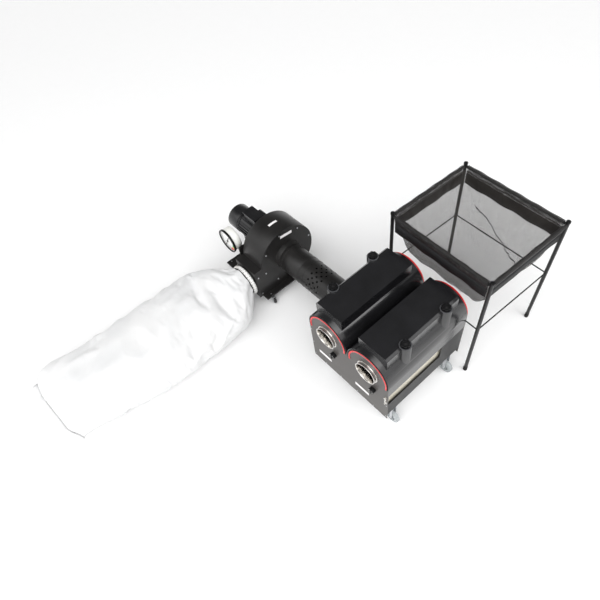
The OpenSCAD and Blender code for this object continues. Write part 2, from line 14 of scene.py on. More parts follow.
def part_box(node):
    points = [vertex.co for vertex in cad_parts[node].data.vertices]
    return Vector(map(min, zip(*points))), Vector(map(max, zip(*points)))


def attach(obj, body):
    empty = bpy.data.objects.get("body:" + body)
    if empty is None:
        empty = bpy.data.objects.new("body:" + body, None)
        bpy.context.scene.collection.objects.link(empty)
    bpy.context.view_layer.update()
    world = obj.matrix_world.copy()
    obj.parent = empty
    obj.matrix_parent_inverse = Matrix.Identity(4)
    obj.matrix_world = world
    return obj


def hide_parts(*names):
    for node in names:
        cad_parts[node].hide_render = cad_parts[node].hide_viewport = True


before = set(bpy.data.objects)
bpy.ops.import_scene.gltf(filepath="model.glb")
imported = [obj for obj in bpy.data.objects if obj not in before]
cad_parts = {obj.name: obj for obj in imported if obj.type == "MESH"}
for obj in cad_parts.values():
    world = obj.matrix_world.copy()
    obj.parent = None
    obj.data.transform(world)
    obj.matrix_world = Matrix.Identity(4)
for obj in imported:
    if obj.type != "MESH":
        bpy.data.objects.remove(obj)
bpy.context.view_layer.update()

# %% [markdown]
# The trimmer is easiest to think about from its own front plate. We put a local origin on the floor
# under the middle of that plate and measure from there in millimetres, as a maker would.

# %% The trimmer's own origin
plate_low, plate_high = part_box("front_plate")
trimmer_origin = Vector(((plate_low.x + plate_high.x) / 2, plate_low.y, 0))


def at(x, y, z):
    """A point given in millimetres from the foot of the trimmer's front plate."""
    return trimmer_origin + Vector((x, y, z)) / 1000


def middle(node):
    """The middle of a CAD node's box."""
    low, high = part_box(node)
    return (low + high) / 2


drum_centre = {side: middle(f"drum_{side}") for side in ("left", "right")}
drum_radius = (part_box("drum_right")[1].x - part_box("drum_right")[0].x) / 2
print("trimmer origin", [round(v, 3) for v in trimmer_origin], "drum radius", round(drum_radius, 3))

# %% [markdown]
# ## Camera
# The set is seen from high up on its right and a little in front, with a moderately wide lens. We
# give the camera the direction it looks in and a roll, and build its axes from those angles.

# %% Camera
FRAME_SIDE = 600
FOCAL = 489.0
YAW, PITCH, ROLL = (math.radians(a) for a in (56.394, 54.596, -10.012))
CAMERA_AT = at(1058.3, -892.2, 2878.2)
OPTICAL_CENTRE = (311.2, 314.6)

forward = Vector((-math.sin(YAW) * math.cos(PITCH), math.cos(YAW) * math.cos(PITCH), -math.sin(PITCH)))
level = Vector((math.cos(YAW), math.sin(YAW), 0))
upright = level.cross(forward)
right = level * math.cos(ROLL) + upright * math.sin(ROLL)
up = upright * math.cos(ROLL) - level * math.sin(ROLL)

lens = bpy.data.cameras.new("camera")
lens.sensor_width = 36
lens.lens = lens.sensor_width * FOCAL / FRAME_SIDE
lens.shift_x = (FRAME_SIDE / 2 - OPTICAL_CENTRE[0]) / FRAME_SIDE
lens.shift_y = (OPTICAL_CENTRE[1] - FRAME_SIDE / 2) / FRAME_SIDE
lens.clip_end = 60
camera = bpy.data.objects.new("camera", lens)
camera.matrix_world = Matrix((
    (right.x, up.x, -forward.x, CAMERA_AT.x),
    (right.y, up.y, -forward.y, CAMERA_AT.y),
    (right.z, up.z, -forward.z, CAMERA_AT.z),
    (0, 0, 0, 1),
))
bpy.context.scene.collection.objects.link(camera)
bpy.context.scene.camera = camera
print("camera lens", round(lens.lens, 1), "mm")

# %% [markdown]
# ## Studio
# The set stands in a white sweep under broad, soft light. A dark flag hangs where the flat black tops
# would mirror the sky towards us, so they stay black while the sides mirror the pale floor. A wide
# sun evens out the floor, and three large area lights give the black parts their long sheen.

# %% Floor and lights
scene = bpy.context.scene
scene.view_settings.view_transform = "Standard"

world = bpy.data.worlds.new("white_sweep")
scene.world = world
world.use_nodes = True
world.node_tree.nodes["Background"].inputs["Color"].default_value = (1, 1, 1, 1)
world.node_tree.nodes["Background"].inputs["Strength"].default_value = 1.0
FLAG_TOWARDS = Vector((forward.x, forward.y, -forward.z)).normalized()
sky = world.node_tree
sky_direction = sky.nodes.new("ShaderNodeTexCoord")
closeness = sky.nodes.new("ShaderNodeVectorMath")
closeness.operation = "DOT_PRODUCT"
closeness.inputs[1].default_value = FLAG_TOWARDS
sky.links.new(sky_direction.outputs["Generated"], closeness.inputs[0])
flag_edge = sky.nodes.new("ShaderNodeMapRange")
flag_edge.interpolation_type = "SMOOTHSTEP"
flag_edge.inputs["From Min"].default_value = math.cos(math.radians(62))
flag_edge.inputs["From Max"].default_value = math.cos(math.radians(30))
flag_edge.inputs["To Min"].default_value = 1.0
flag_edge.inputs["To Max"].default_value = 0.12
sky.links.new(closeness.outputs["Value"], flag_edge.inputs["Value"])
sky.links.new(flag_edge.outputs["Result"], sky.nodes["Background"].inputs["Color"])


def soft_light(name, place, target, size, power):
    """A large square area light at place, turned towards target."""
    data = bpy.data.lights.new(name, "AREA")
    data.size = size
    data.energy = power
    lamp = bpy.data.objects.new(name, data)
    lamp.location = place
    lamp.rotation_euler = (target - place).to_track_quat("-Z", "Y").to_euler()
    scene.collection.objects.link(lamp)
    return lamp


aim = at(-400, 200, 300)
soft_light("key", at(2600, 1400, 3000), aim, 2.2, 34)
soft_light("fill", at(-2600, -2600, 3200), aim, 3.0, 16)
soft_light("front", at(1500, -2300, 3300), aim, 3.0, 30)
day = bpy.data.lights.new("even_sun", "SUN")
day.angle = math.radians(70)
day.energy = 1.5
sun = bpy.data.objects.new("even_sun", day)
sun.rotation_euler = (math.radians(28), math.radians(18), 0)
scene.collection.objects.link(sun)

# %% [markdown]
# ## Mesh helpers
# Most pieces are lofts: rings of points joined by quads. A lathe turns a profile about an axis and a
# loft follows any rings, so both use the same small function.


# %% Mesh helpers
def new_piece(name, points, faces, body, finish, smooth=True):
    """A mesh object that rides on a body, with one finish."""
    mesh = bpy.data.meshes.new(name)
    mesh.from_pydata([tuple(p) for p in points], [], faces)
    mesh.update()
    mesh.polygons.foreach_set("use_smooth", [smooth] * len(mesh.polygons))
    piece = bpy.data.objects.new(name, mesh)
    scene.collection.objects.link(piece)
    piece.data.materials.append(finish)
    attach(piece, body)
    return piece


def gather(name, parts, body, material, smooth=True):
    """One piece from several (points, faces) pairs."""
    points, faces = [], []
    for more_points, more_faces in parts:
        offset = len(points)
        points += more_points
        faces += [tuple(v + offset for v in f) for f in more_faces]
    return new_piece(name, points, faces, body, material, smooth)


def loft(rings, closed=True, cap_first=False, cap_last=False):
    """Points and faces over rings of equal length. closed joins each ring's end to its start."""
    n = len(rings[0])
    points = [p for ring in rings for p in ring]
    steps = n if closed else n - 1
    faces = [
        (i * n + j, i * n + (j + 1) % n, (i + 1) * n + (j + 1) % n, (i + 1) * n + j)
        for i in range(len(rings) - 1) for j in range(steps)
    ]
    if cap_first:
        faces.append(tuple(reversed(range(n))))
    if cap_last:
        faces.append(tuple((len(rings) - 1) * n + j for j in range(n)))
    return points, faces


def lathe(profile, centre, axis, turn=(0, 360), steps=96, loop=False):
    """Turns (along, radius) pairs in metres about an axis through centre. loop closes the profile."""
    axis = Vector(axis).normalized()
    side = Vector((0, 0, 1)) if abs(axis.z) < 0.9 else Vector((1, 0, 0))
    other = axis.cross(side)
    full = turn[1] - turn[0] >= 360
    count = steps if full else steps + 1
    rings = []
    for k in range(count):
        a = math.radians(turn[0] + (turn[1] - turn[0]) * k / steps)
        out = side * math.cos(a) + other * math.sin(a)
        rings.append([centre + axis * along + out * radius for along, radius in profile])
    if full:
        rings.append(rings[0])
    points, faces = loft(rings, closed=loop, cap_first=loop and not full, cap_last=loop and not full)
    if full:
        n = len(profile)
        last = (len(rings) - 1) * n
        points = points[:last]
        faces = [tuple(v - last if v >= last else v for v in f) for f in faces]
    return points, faces


def rounded(width, height, radius, steps=4):
    """Corners of a rounded rectangle from (0, 0) to (width, height), counter-clockwise."""
    corners = [(width - radius, radius, -90), (width - radius, height - radius, 0),
               (radius, height - radius, 90), (radius, radius, 180)]
    return [
        (cx + radius * math.cos(math.radians(start + 90 * k / steps)),
         cy + radius * math.sin(math.radians(start + 90 * k / steps)))
        for cx, cy, start in corners for k in range(steps + 1)
    ]


print("helpers ready")

# %% [markdown]
# ## Finishes
# Powder coat, moulded plastic and cast metal all share one recipe: a principled shader whose colour
# and roughness drift with one noise, and whose fine grain comes from a second noise through a bump.
# The drift is what stops a black machine from looking like a cut-out.


# %% The shared finish recipe
def finish(name, dark, light, rough, grain=900.0, bump=0.00004, drift=9.0, metal=0.0,
           stretch=(1, 1, 1), **sockets):
    """A material whose colour and roughness drift between two values under a fine grain."""
    made = bpy.data.materials.new(name)
    made.use_nodes = True
    tree = made.node_tree
    shader = tree.nodes["Principled BSDF"]
    coords = tree.nodes.new("ShaderNodeTexCoord")
    mapping = tree.nodes.new("ShaderNodeMapping")
    mapping.inputs["Scale"].default_value = stretch
    tree.links.new(coords.outputs["Object"], mapping.inputs["Vector"])
    broad = tree.nodes.new("ShaderNodeTexNoise")
    broad.inputs["Scale"].default_value = drift
    broad.inputs["Detail"].default_value = 6
    tree.links.new(mapping.outputs["Vector"], broad.inputs["Vector"])
    tone = tree.nodes.new("ShaderNodeValToRGB")
    tone.color_ramp.elements[0].position = 0.3
    tone.color_ramp.elements[0].color = (*dark, 1)
    tone.color_ramp.elements[1].position = 0.7
    tone.color_ramp.elements[1].color = (*light, 1)
    tree.links.new(broad.outputs["Fac"], tone.inputs["Fac"])
    tree.links.new(tone.outputs["Color"], shader.inputs["Base Color"])
    spread = tree.nodes.new("ShaderNodeMapRange")
    spread.inputs["To Min"].default_value = rough[0]
    spread.inputs["To Max"].default_value = rough[1]
    tree.links.new(broad.outputs["Fac"], spread.inputs["Value"])
    tree.links.new(spread.outputs["Result"], shader.inputs["Roughness"])
    fine = tree.nodes.new("ShaderNodeTexNoise")
    fine.inputs["Scale"].default_value = grain
    fine.inputs["Detail"].default_value = 3
    tree.links.new(mapping.outputs["Vector"], fine.inputs["Vector"])
    relief = tree.nodes.new("ShaderNodeBump")
    relief.inputs["Strength"].default_value = 1.0
    relief.inputs["Distance"].default_value = bump
    tree.links.new(fine.outputs["Fac"], relief.inputs["Height"])
    tree.links.new(relief.outputs["Normal"], shader.inputs["Normal"])
    shader.inputs["Metallic"].default_value = metal
    for socket, value in sockets.items():
        shader.inputs[socket.replace("_", " ")].default_value = value
    return made


# %% [markdown]
# The black parts are not one black. The blower is a charcoal powder coat with a slight orange peel,
# the covers are a smoother moulded plastic, and the knobs and rubber are darker and duller.

# %% Finishes for the hard parts
powder_black = finish("powder_black", (0.010, 0.0096, 0.0094), (0.017, 0.016, 0.0155), (0.30, 0.40), 1400,
                      Specular_IOR_Level=0.36)
cover_plastic = finish("cover_plastic", (0.007, 0.007, 0.0078), (0.012, 0.012, 0.0135), (0.17, 0.24), 1800,
                       0.00002, Specular_IOR_Level=0.9)
plate_coat = finish("plate_coat", (0.055, 0.050, 0.047), (0.075, 0.069, 0.065), (0.34, 0.45), 1300,
                    Specular_IOR_Level=0.4)
frame_black = finish("frame_black", (0.005, 0.005, 0.0055), (0.009, 0.009, 0.0095), (0.36, 0.48), 1200,
                     Specular_IOR_Level=0.25)
cream_plastic = finish("cream_plastic", (0.50, 0.47, 0.38), (0.60, 0.57, 0.48), (0.3, 0.45), 700)
nylon = finish("nylon", (0.62, 0.62, 0.60), (0.72, 0.72, 0.70), (0.4, 0.5), 800)
polished = finish("polished_steel", (0.62, 0.60, 0.57), (0.78, 0.76, 0.73), (0.08, 0.2), 500, 0.00001,
                  drift=25, metal=1.0)
stainless = finish("stainless", (0.50, 0.50, 0.50), (0.66, 0.66, 0.66), (0.2, 0.34), 1500, 0.00002,
                   metal=1.0, stretch=(1, 0.03, 1), Anisotropic=0.5)
tool_steel = finish("tool_steel", (0.40, 0.41, 0.43), (0.56, 0.57, 0.6), (0.25, 0.4), 900, metal=1.0,
                    stretch=(1, 0.05, 1))
zinc = finish("zinc", (0.48, 0.49, 0.51), (0.66, 0.67, 0.69), (0.22, 0.42), 500, metal=1.0, drift=60)
cast_alloy = finish("cast_alloy", (0.3, 0.31, 0.33), (0.42, 0.43, 0.45), (0.45, 0.6), 400, 0.0001,
                    metal=1.0)
red_trim = finish("red_trim", (0.62, 0.012, 0.016), (0.78, 0.02, 0.024), (0.22, 0.32), 800)
motor_black = finish("motor_enamel", (0.008, 0.008, 0.009), (0.015, 0.015, 0.016), (0.18, 0.3), 260,
                     0.00012)
white_plate = finish("white_plate", (0.80, 0.77, 0.77), (0.88, 0.86, 0.86), (0.25, 0.35), 500, 0.00001)
knob_black = finish("knob_black", (0.004, 0.004, 0.0045), (0.008, 0.008, 0.0085), (0.3, 0.42), 1500,
                    Specular_IOR_Level=0.25)
# the lighter grey of the boss rims is a painted highlight on the black knob bosses
boss_painted_highlight = finish("boss_painted_highlight", (0.045, 0.046, 0.050), (0.070, 0.071, 0.076), (0.3, 0.4), 1500, 0.00002)
rubber = finish("black_rubber", (0.007, 0.007, 0.007), (0.013, 0.013, 0.013), (0.6, 0.75), 900,
                Specular_IOR_Level=0.25)
grey_wheel = finish("grey_wheel", (0.42, 0.45, 0.46), (0.56, 0.59, 0.60), (0.18, 0.3), 300,
                    Transmission_Weight=0.35)
dark_wheel = finish("dark_wheel", (0.02, 0.02, 0.021), (0.035, 0.035, 0.036), (0.4, 0.55), 600)
gauge_white = finish("gauge_white", (0.74, 0.74, 0.70), (0.82, 0.82, 0.79), (0.3, 0.4), 600)
print("hard finishes:", len(bpy.data.materials))

# %% [markdown]
# ## Dress the CAD nodes
# The CAD meshes are exact but razor sharp. Welding the split corners, dissolving the flat triangles
# and adding a small bevel gives every edge the thin highlight that real castings and bends have.
# These are modifiers, so the frame's own meshes are left as they are.


# %% Finish and edge width for each CAD node
def dress(node, material, edge=0.0):
    """Gives a CAD node its finish and, where edge is given, softened edges of that width in metres."""
    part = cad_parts[node]
    part.data.materials.clear()
    part.data.materials.append(material)
    if edge:
        part.modifiers.new("weld", "WELD").merge_threshold = 0.00002
        flat = part.modifiers.new("flat", "DECIMATE")
        flat.decimate_type = "DISSOLVE"
        flat.angle_limit = math.radians(0.5)
        soft = part.modifiers.new("edge", "BEVEL")
        soft.width = edge
        soft.segments = 2
        soft.limit_method = "ANGLE"
        soft.angle_limit = math.radians(32)
        soft.harden_normals = False


CASTER_IDS = (1, 2, 3, 4)
DRESSING = {
    "front_plate": (plate_coat, 0.001), "rear_plate": (plate_coat, 0.001),
    "cart_frame": (frame_black, 0.0012), "collection_pan": (cream_plastic, 0.0012),
    "drum_bearings": (nylon, 0), "infeed_collars": (polished, 0.0008),
    "trim_rings": (red_trim, 0.0008), "bed_knives": (tool_steel, 0.0006),
    "reel_motors": (motor_black, 0.002), "name_plates": (white_plate, 0.0004),
    "latch_base": (polished, 0.0005), "latch_lever": (polished, 0.0005),
    "duct_tube": (powder_black, 0.0006), "vent_section": (powder_black, 0),
    "blower_housing": (powder_black, 0.0012), "inlet_plate": (powder_black, 0.001),
    "blower_bolts": (zinc, 0.0012), "motor_body": (motor_black, 0.001),
    "fan_cowl": (motor_black, 0.001), "terminal_box": (motor_black, 0.003),
    "blower_base": (powder_black, 0.0015), "outlet_collar": (powder_black, 0.0008),
    "bin_legs": (frame_black, 0.002), "bin_rods": (frame_black, 0),
    "bin_feet": (rubber, 0.002), "drum_left": (stainless, 0), "drum_right": (stainless, 0),
    "reel_left": (tool_steel, 0), "reel_right": (tool_steel, 0),
    "cover_left": (cover_plastic, 0.0028), "cover_right": (cover_plastic, 0.0028),
    "speed_knob_left": (knob_black, 0.0015), "speed_knob_right": (knob_black, 0.0015),
    "impeller": (cast_alloy, 0.001), "gauge_needle": (knob_black, 0),
}
for i in CASTER_IDS:
    DRESSING[f"cover_knob_{i}"] = (knob_black, 0.0015)
    DRESSING[f"cart_fork_{i}"] = (zinc, 0.0006)
    DRESSING[f"blower_fork_{i}"] = (zinc, 0.0005)
    DRESSING[f"cart_wheel_{i}"] = (grey_wheel, 0.0015)
    DRESSING[f"blower_wheel_{i}"] = (dark_wheel, 0.001)
for node, (material, edge) in DRESSING.items():
    dress(node, material, edge)
print("dressed", len(DRESSING), "nodes")

# %% [markdown]
# ## Cloth finishes
# Three fabrics are in view: a white non-woven felt, an open dark mesh and a black woven tape. Each
# of our own cloth pieces stores where every point lay in the flat cut, in metres, as an attribute
# called cut. Threads are drawn from that attribute, so they follow the cloth through its folds.


# %% Thread patterns
def thread_pattern(tree, pitch, width):
    """A node output that is 1 on a grid of threads of that pitch, and 0 in the holes between them."""
    cut = tree.nodes.new("ShaderNodeAttribute")
    cut.attribute_name = "cut"
    parts = tree.nodes.new("ShaderNodeSeparateXYZ")
    tree.links.new(cut.outputs["Vector"], parts.inputs["Vector"])
    lines = []
    for axis in ("X", "Y"):
        place = tree.nodes.new("ShaderNodeMath")
        place.operation = "PINGPONG"
        place.inputs[1].default_value = pitch / 2
        tree.links.new(parts.outputs[axis], place.inputs[0])
        line = tree.nodes.new("ShaderNodeMath")
        line.operation = "LESS_THAN"
        line.inputs[1].default_value = width / 2
        tree.links.new(place.outputs[0], line.inputs[0])
        lines.append(line)
    both = tree.nodes.new("ShaderNodeMath")
    both.operation = "MAXIMUM"
    tree.links.new(lines[0].outputs[0], both.inputs[0])
    tree.links.new(lines[1].outputs[0], both.inputs[1])
    return both.outputs[0]


filter_felt = finish("filter_felt", (0.72, 0.725, 0.73), (0.79, 0.79, 0.79), (0.75, 0.9), 420, 0.00025,
                     drift=5, Sheen_Weight=0.25, Sheen_Roughness=0.5)
strap_web = finish("strap_web", (0.78, 0.78, 0.76), (0.86, 0.86, 0.84), (0.6, 0.75), 700, 0.0002)
tape_black = finish("tape_black", (0.006, 0.006, 0.0065), (0.013, 0.013, 0.014), (0.55, 0.7), 1100, 0.0002,
                    Specular_IOR_Level=0.25)
open_mesh = finish("open_mesh", (0.026, 0.023, 0.021), (0.042, 0.037, 0.034), (0.5, 0.65), 1200, 0.0001,
                   Specular_IOR_Level=0.3)
MESH_PITCH = 0.0030
MESH_THREAD = 0.0011
sleeve_mesh = finish("sleeve_mesh", (0.018, 0.017, 0.017), (0.030, 0.028, 0.028), (0.5, 0.65), 1200, 0.0001,
                     Specular_IOR_Level=0.3)
for cloth, thread in ((open_mesh, MESH_THREAD), (sleeve_mesh, MESH_THREAD * 1.3)):
    mesh_tree = cloth.node_tree
    mesh_tree.links.new(thread_pattern(mesh_tree, MESH_PITCH, thread),
                        mesh_tree.nodes["Principled BSDF"].inputs["Alpha"])
print("cloth finishes ready")

# %% [markdown]
# ## Cloth
# Real cloth wrinkles because there is more of it than the space it fills. Blender's Cloth can grow
# a sheet's rest lengths by a few per cent, and with its edges held the spare cloth buckles into
# natural folds. We run it for a few frames, then keep the result as plain mesh, and we cap how far
# any point moves so that the piece stays in the space its CAD solid holds.


# %% Cloth helpers
def store_cut(piece, cut):
    """Stores each point's place in the flat cut, in metres."""
    layer = piece.data.attributes.new("cut", "FLOAT_VECTOR", "POINT")
    layer.data.foreach_set("vector", [c for u, v in cut for c in (u, v, 0.0)])


def settle(piece, held, frames, growth, pressure=0.0, gravity=0.0, bend=0.4, cap=0.03, floor_at=None):
    """Runs Cloth on a piece with the held points pinned, then keeps the result as its mesh."""
    start = [v.co.copy() for v in piece.data.vertices]
    group = piece.vertex_groups.new(name="held")
    for index, weight in held.items():
        group.add([index], weight, "REPLACE")
    cloth = piece.modifiers.new("cloth", "CLOTH")
    rules = cloth.settings
    rules.quality = 6
    rules.mass = 0.15
    rules.air_damping = 3
    rules.tension_stiffness = rules.compression_stiffness = 12
    rules.shear_stiffness = 6
    rules.bending_stiffness = bend
    rules.vertex_group_mass = "held"
    rules.shrink_min = -growth
    rules.effector_weights.gravity = gravity
    rules.use_pressure = pressure > 0
    rules.uniform_pressure_force = pressure
    cloth.point_cache.frame_end = frames
    for step in range(1, frames + 1):
        scene.frame_set(step)
    evaluated = piece.evaluated_get(bpy.context.evaluated_depsgraph_get())
    moved = [v.co.copy() for v in evaluated.data.vertices]
    piece.modifiers.remove(cloth)
    piece.vertex_groups.remove(group)
    scene.frame_set(1)
    for vertex, before, after in zip(piece.data.vertices, start, moved):
        step = after - before
        if step.length > cap:
            step *= cap / step.length
        vertex.co = before + step
        if floor_at is not None:
            vertex.co.z = max(vertex.co.z, floor_at)
    piece.data.update()
    longest = max((after - before).length for before, after in zip(start, moved))
    print(piece.name, "settled; the furthest point moved", round(longest * 1000), "mm before the cap")


def smooth_step(t):
    """0 below 0, 1 above 1, and a smooth rise between."""
    t = min(1.0, max(0.0, t))
    return t * t * (3 - 2 * t)


def between(stations, s):
    """Values at s from a list of (s, values) stations, joined by smooth cubic curves."""
    keys = [k for k, _ in stations]
    i = max(0, min(len(keys) - 2, sum(1 for k in keys if k <= s) - 1))
    k0, k1 = keys[i], keys[i + 1]
    t = (s - k0) / (k1 - k0)
    before = stations[max(i - 1, 0)]
    after = stations[min(i + 2, len(keys) - 1)]
    values = []
    for a, p, q, b in zip(before[1], stations[i][1], stations[i + 1][1], after[1]):
        slope_p = (q - a) / max(k1 - before[0], 1e-6) * (k1 - k0)
        slope_q = (b - p) / max(after[0] - k0, 1e-6) * (k1 - k0)
        values.append(p * (2 * t**3 - 3 * t**2 + 1) + slope_p * (t**3 - 2 * t**2 + t)
                      + q * (-2 * t**3 + 3 * t**2) + slope_q * (t**3 - t**2))
    return values


print("cloth helpers ready")

# %% [markdown]
# ## Filter bag
# The bag is a long felt tube, sewn flat across its closed end, strapped round the blower's outlet
# and half filled with air. We loft it along stations read off the CAD solid's box: a round neck, a
# quick swell, a long low body flattened by the floor, and a wedge down to the flat seam. The felt
# has spare length in it, so Cloth puts the soft dents in and we only guide the larger creases.

# %% Filter bag: its shape along its length
bag_low, bag_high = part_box("filter_bag")
collar_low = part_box("outlet_collar")[0]
bag_length = bag_high.y - bag_low.y
outlet_x = middle("outlet_collar").x
outlet_z = (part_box("blower_housing")[0].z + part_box("blower_housing")[0].z + 0.26) / 2
NECK_R = 0.112
BAG_AROUND = 112
BAG_ALONG = 150

# distance from the neck, then middle x, half width, lowest z and highest z, all in metres
BAG_STATIONS = [
    (0.0, (outlet_x, NECK_R, outlet_z - NECK_R, outlet_z + NECK_R)),
    (0.055, (outlet_x - 0.004, 0.172, 0.07, 0.325)),
    (0.14, (outlet_x - 0.030, 0.262, 0.006, 0.322)),
    (0.26, (outlet_x - 0.052, 0.312, 0.001, 0.308)),
    (0.50, (outlet_x - 0.058, 0.334, 0.001, 0.294)),
    (0.76, (outlet_x - 0.060, 0.338, 0.001, 0.286)),
    (1.02, (outlet_x - 0.084, 0.326, 0.001, 0.270)),
    (1.25, (outlet_x - 0.132, 0.322, 0.001, 0.240)),
    (1.39, (outlet_x - 0.166, 0.316, 0.001, 0.180)),
    (1.468, (outlet_x - 0.186, 0.304, 0.001, 0.098)),
    (1.505, (outlet_x - 0.194, 0.290, 0.004, 0.014)),
]


def end_skew(s, side):
    """How far the closed end is turned and its corners drawn back, side running from -1 to 1."""
    reach = smooth_step((s - 1.0) / 0.5)
    corner = 0.045 if side > 0 else 0.018
    return reach * (0.024 * side + corner * smooth_step((abs(side) - 0.55) / 0.5))


def bag_ring(s):
    """One ring of the bag at distance s from its neck."""
    mid_x, half, low, high = between(BAG_STATIONS, s)
    squareness = 2.0 + 0.5 * smooth_step(s / 0.3)
    ring = []
    for j in range(BAG_AROUND):
        a = math.tau * j / BAG_AROUND
        across = math.copysign(abs(math.cos(a)) ** (2 / squareness), math.cos(a))
        rise = math.copysign(abs(math.sin(a)) ** (2 / squareness), math.sin(a))
        x = mid_x + half * across
        z = (low + high) / 2 + (high - low) / 2 * rise
        # long diagonal creases that run into the neck and fade along the body
        puckers = math.sin(a * 9 + 1.3 * math.sin(a * 2)) * 0.007 * (1 - smooth_step((s - 0.02) / 0.34))
        swell = noise.noise(Vector((across * 1.7, rise * 1.7, s * 3.1))) * 0.016
        swell *= smooth_step((s - 0.1) / 0.3)
        crease = abs(noise.noise(Vector((across * 2.2 + 7, rise * 2.0, s * 5.5 - across * 1.6)))) * -0.022
        crease *= smooth_step((s - 0.12) / 0.2)
        lift = (puckers + swell + crease) * (1 - smooth_step((s - 1.38) / 0.12))
        x += lift * math.cos(a)
        z += lift * math.sin(a) * (0.3 if rise < 0 else 1)
        ring.append(Vector((x, bag_high.y - s + end_skew(s, across), max(z, 0.001))))
    return ring


bag_steps = [BAG_STATIONS[-1][0] * k / BAG_ALONG for k in range(BAG_ALONG + 1)]
bag_points, bag_faces = loft([bag_ring(s) for s in bag_steps])
filter_bag = new_piece("filter_bag_felt", bag_points, bag_faces, "frame", filter_felt)
BAG_CUT = (1.52, 1.56)
store_cut(filter_bag, [(BAG_CUT[0] * j / BAG_AROUND, s) for s in bag_steps for j in range(BAG_AROUND)])
print("bag", len(bag_points), "points over", round(bag_length, 3), "m")

# %% Filter bag: let the spare felt buckle
bag_held = {}
for index, point in enumerate(bag_points):
    row = index // BAG_AROUND
    if row < 3 or row > BAG_ALONG - 3:
        bag_held[index] = 1.0
    elif point.z < 0.004:
        bag_held[index] = 0.9
settle(filter_bag, bag_held, frames=26, growth=0.027, pressure=0.25, bend=0.15, cap=0.03, floor_at=0.001)
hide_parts("filter_bag")

# %% [markdown]
# The closed end is two layers sewn together in a flat, slightly wavy band with an ear at each corner.
# It lies on the floor, so we model it directly as a thin double strip that starts in the bag's end.

# %% Filter bag: the sewn end
SEAM_WIDE = 0.030
seam_rings = []
for k in range(49):
    t = k / 48 * 2 - 1
    mid_x, half, low, high = between(BAG_STATIONS, BAG_STATIONS[-1][0])
    x = mid_x + t * (half + 0.016)
    wave = 0.003 * math.sin(t * 11) + 0.002 * math.sin(t * 23 + 1)
    ear = 0.006 * abs(t) ** 8
    y_in = bag_low.y + 0.012 + end_skew(BAG_STATIONS[-1][0], t)
    y_out = y_in - SEAM_WIDE - ear + 0.0025 * math.sin(t * 9 + 2)
    y_out = max(y_out, bag_low.y - 0.045)
    z = 0.007 + wave * 0.6
    seam_rings.append([
        Vector((x, y_in, z + 0.0035)), Vector((x, (y_in + y_out) / 2, z + 0.0022 + wave * 0.5)),
        Vector((x, y_out, z + 0.0012)), Vector((x, y_out, z - 0.0008)),
        Vector((x, (y_in + y_out) / 2, z - 0.0012 + wave * 0.5)), Vector((x, y_in, z - 0.0035)),
    ])
seam_points, seam_faces = loft(seam_rings, cap_first=True, cap_last=True)
bag_seam = new_piece("filter_bag_seam", seam_points, seam_faces, "frame", filter_felt)
print("seam", len(seam_points), "points")

# %% [markdown]
# ## Neck strap
# A pale webbing strap pulls the bag's mouth on to the collar. It is a thin ring with a cam buckle on
# top and a row of short dark stitches.

# %% Neck strap
strap_mid = Vector((outlet_x, collar_low.y + 0.019, outlet_z))
strap_profile = [(u - 0.013, NECK_R + 0.0035 + v - 0.0015) for u, v in rounded(0.026, 0.003, 0.001)]
strap_points, strap_faces = lathe(strap_profile, strap_mid, (0, 1, 0), steps=120, loop=True)
strap = new_piece("neck_strap_web", strap_points, strap_faces, "frame", strap_web)
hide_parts("neck_strap")
stitch_parts = []
STITCHES = 34
STITCH_TURN = 5.6
for k in range(STITCHES):
    start = 360 * k / STITCHES
    for side in (-0.008, 0.008):
        outline = [(side + u - 0.001, NECK_R + 0.0048 + v) for u, v in rounded(0.002, 0.0009, 0.0003, 2)]
        turn = (start, start + STITCH_TURN)
        stitch_parts.append(lathe(outline, strap_mid, (0, 1, 0), turn=turn, steps=3, loop=True))
stitches = gather("neck_strap_stitches", stitch_parts, "frame", tape_black)
buckle_profile = [(u - 0.017, NECK_R + 0.004 + v) for u, v in rounded(0.034, 0.008, 0.002)]
points, faces = lathe(buckle_profile, strap_mid, (0, 1, 0), turn=(-52, -37), steps=6, loop=True)
buckle = new_piece("neck_strap_buckle", points, faces, "frame", polished)
print("strap with", STITCHES * 2, "stitches")

# %% [markdown]
# ## Mesh bin
# A dark mesh sack hangs inside the stand from a hem sewn over its four top rails. We start from the
# sack the way it's cut, a deep rounded square, and let gravity and a little spare cloth make its
# folds. The top edge is held by the hem. First we need the stand's own sides: it stands slightly
# turned, so its half width and half depth follow from its box and that turn.

# %% The stand's own sides
leg_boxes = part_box("bin_legs")
bin_top = leg_boxes[1].z
bin_middle = Vector((middle("bin_legs").x, middle("bin_legs").y, 0))
BIN_TURN = math.radians(-3)
sack_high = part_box("mesh_bag")[1]
span_x = leg_boxes[1].x - leg_boxes[0].x
span_y = leg_boxes[1].y - leg_boxes[0].y
FOOT_R = 0.013
# the turned stand's half width and half depth follow from its box
turned = abs(math.sin(BIN_TURN)), math.cos(BIN_TURN)
half_a, half_b = span_x / 2 - FOOT_R, span_y / 2 - FOOT_R
bin_half_depth = (half_b * turned[1] - half_a * turned[0]) / (turned[1] ** 2 - turned[0] ** 2)
bin_half_width = (half_a - bin_half_depth * turned[0]) / turned[1]


def in_bin(x, y, z):
    """A point in metres from the middle of the bin's floor, along the bin's own sides."""
    c, s = math.cos(BIN_TURN), math.sin(BIN_TURN)
    return bin_middle + Vector((c * x - s * y, s * x + c * y, z))


print("bin half width and depth", round(bin_half_width, 3), round(bin_half_depth, 3))

# %% [markdown]
# A loft needs rings whose points keep in step. Spreading them evenly by length round a rounded
# rectangle keeps the mesh's faces nearly square, where angles from the middle would crowd them.


